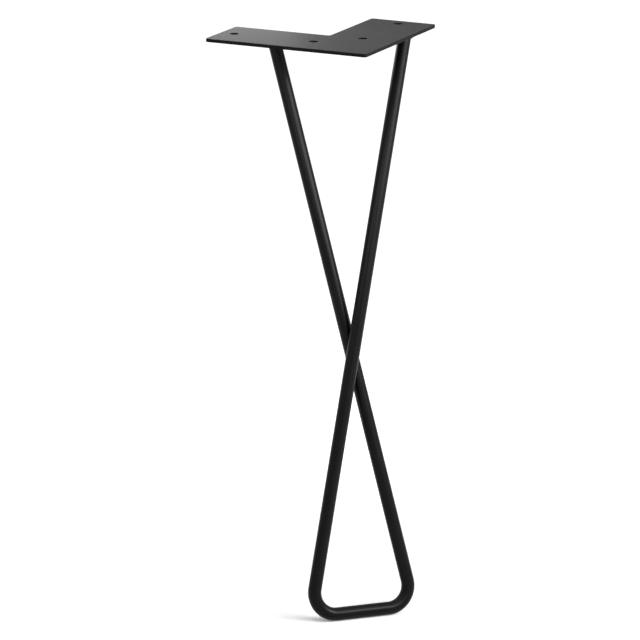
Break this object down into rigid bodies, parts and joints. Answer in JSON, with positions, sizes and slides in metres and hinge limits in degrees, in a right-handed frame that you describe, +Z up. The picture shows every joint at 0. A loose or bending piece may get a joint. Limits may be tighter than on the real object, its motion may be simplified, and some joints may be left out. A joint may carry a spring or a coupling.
{
  "type": "hairpin table leg",
  "caption": "Hairpin table leg: a round rod, bent along the floor as a foot, crosses itself on the way up and is welded under a flat L-shaped plate with screw holes.",
  "frame": {"origin": "on the plate's top face, where the centre lines of its two arms cross", "axes": "+Z up, out of the mounting face; +Y in under the table, away from the plate's outer corner; +X along the foot, to the right seen from the outer corner"},
  "size_m": [0.1722, 0.1328, 0.406],
  "materials": {
    "powder_coat": "satin black powder coat on steel"
  },
  "bodies": {
    "root": {"top_plate": "powder_coat", "hairpin_rod": "powder_coat", "rod_weld_left": "powder_coat", "rod_weld_right": "powder_coat"}
  },
  "joints": []
}
